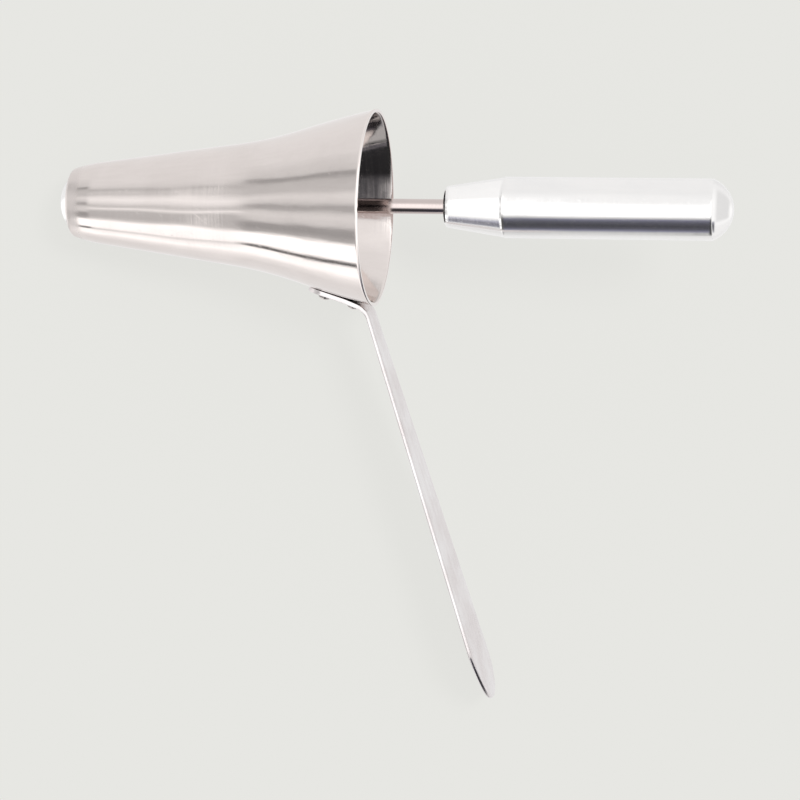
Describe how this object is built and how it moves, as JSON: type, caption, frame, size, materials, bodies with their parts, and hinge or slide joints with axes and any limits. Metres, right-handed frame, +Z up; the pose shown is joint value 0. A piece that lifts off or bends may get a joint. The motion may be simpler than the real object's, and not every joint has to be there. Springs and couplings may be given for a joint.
{
  "type": "anal speculum",
  "caption": "Tubular anal speculum: a flared spun-steel cone with a riveted flat handle, and a slide-out obturator with a rounded nose, rod and turned grip.",
  "frame": {"origin": "on the table, under the centre of the box round the instrument as it lies on its rim, its tip and the handle's end", "axes": "+X from the tip to the grip as seen from above, +Z up from the table, the handle towards -Y; the tube's axis rises 11.3 degrees towards the grip"},
  "size_m": [0.2208, 0.1956, 0.0636],
  "materials": {
    "tube_steel": "bright polished stainless steel with fine turning lines along the cone",
    "blade_steel": "satin stainless strip with bright rounded edges",
    "rivet_steel": "satin",
    "nose_metal": "polished",
    "rod_steel": "ground and polished",
    "grip_aluminium": "bright turned, fine rings round it"
  },
  "bodies": {
    "speculum": {"speculum_tube": "tube_steel", "handle_blade": "blade_steel", "front_rivet": "rivet_steel", "rear_rivet": "rivet_steel"},
    "obturator": {"obturator_nose": "nose_metal", "obturator_rod": "rod_steel", "obturator_grip": "grip_aluminium"}
  },
  "joints": [
    {"name": "obturator_slide", "type": "slide", "parent": "speculum", "child": "obturator", "axis": [0.9805, 0, 0.1963], "range_m": [0, 0.125]}
  ]
}
